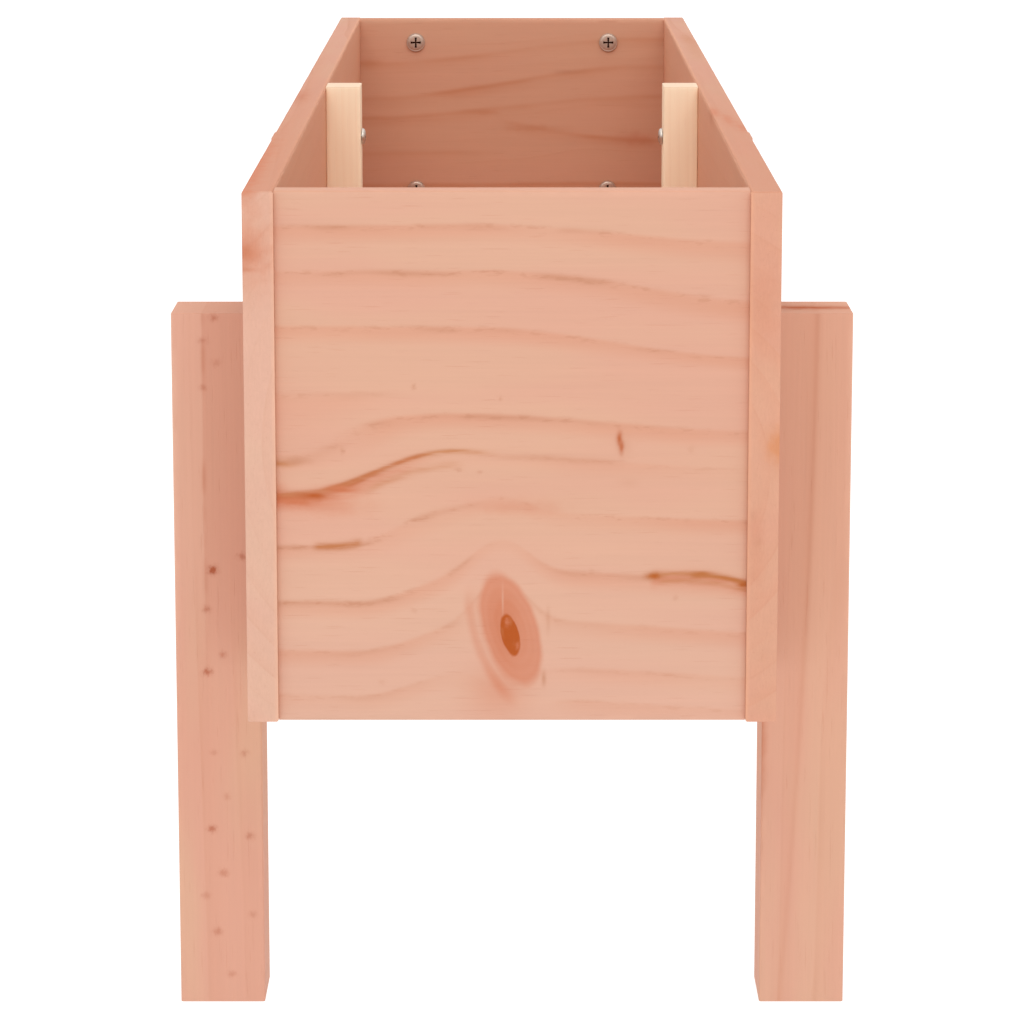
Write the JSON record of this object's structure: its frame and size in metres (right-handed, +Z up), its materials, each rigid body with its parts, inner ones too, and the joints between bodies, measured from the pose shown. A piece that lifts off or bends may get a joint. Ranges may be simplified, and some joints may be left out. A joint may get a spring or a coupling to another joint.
{
  "type": "raised planter on legs",
  "caption": "Long raised planter: a deep open box of reddish softwood boards carried by square legs outside its long sides, with middle battens and a slatted draining floor.",
  "frame": {"origin": "on the ground, under the middle of the planter", "axes": "+X across the planter to its right, +Y along its length from front to back, +Z up"},
  "size_m": [0.3, 1.01, 0.38],
  "materials": {
    "board_fir": "planed, untreated reddish fir with knots, matt",
    "leg_fir": "planed, untreated fir heartwood, matt",
    "slat_fir": "sawn and planed, untreated reddish fir, matt",
    "pale_pine": "planed, untreated pale pine, matt",
    "screw_zinc": "zinc plated, satin"
  },
  "bodies": {
    "root": {"batten_screw_left_1": "screw_zinc", "batten_screw_left_2": "screw_zinc", "batten_screw_right_1": "screw_zinc", "batten_screw_right_2": "screw_zinc", "bearer_screw_left_1": "screw_zinc", "bearer_screw_left_2": "screw_zinc", "bearer_screw_left_3": "screw_zinc", "bearer_screw_right_1": "screw_zinc", "bearer_screw_right_2": "screw_zinc", "bearer_screw_right_3": "screw_zinc", "corner_screw_back_left_1": "screw_zinc", "corner_screw_back_left_2": "screw_zinc", "corner_screw_back_right_1": "screw_zinc", "corner_screw_back_right_2": "screw_zinc", "corner_screw_front_left_1": "screw_zinc", "corner_screw_front_left_2": "screw_zinc", "corner_screw_front_right_1": "screw_zinc", "corner_screw_front_right_2": "screw_zinc", "end_board_back": "board_fir", "end_board_front": "board_fir", "end_screw_back_1": "screw_zinc", "end_screw_back_2": "screw_zinc", "end_screw_back_3": "screw_zinc", "end_screw_back_4": "screw_zinc", "end_screw_back_5": "screw_zinc", "end_screw_back_6": "screw_zinc", "end_screw_front_1": "screw_zinc", "end_screw_front_2": "screw_zinc", "end_screw_front_3": "screw_zinc", "end_screw_front_4": "screw_zinc", "end_screw_front_5": "screw_zinc", "end_screw_front_6": "screw_zinc", "floor_bearer_left": "pale_pine", "floor_bearer_right": "pale_pine", "floor_slat_1": "slat_fir", "floor_slat_2": "slat_fir", "floor_slat_3": "slat_fir", "floor_slat_4": "slat_fir", "floor_slat_5": "slat_fir", "floor_slat_6": "slat_fir", "floor_slat_7": "slat_fir", "floor_slat_8": "slat_fir", "floor_slat_9": "slat_fir", "leg_back_left": "leg_fir", "leg_back_right": "leg_fir", "leg_front_left": "leg_fir", "leg_front_right": "leg_fir", "leg_screw_back_left_1": "screw_zinc", "leg_screw_back_left_2": "screw_zinc", "leg_screw_back_right_1": "screw_zinc", "leg_screw_back_right_2": "screw_zinc", "leg_screw_front_left_1": "screw_zinc", "leg_screw_front_left_2": "screw_zinc", "leg_screw_front_right_1": "screw_zinc", "leg_screw_front_right_2": "screw_zinc", "middle_batten_left": "pale_pine", "middle_batten_right": "pale_pine", "side_board_left": "board_fir", "side_board_right": "board_fir"}
  },
  "joints": []
}
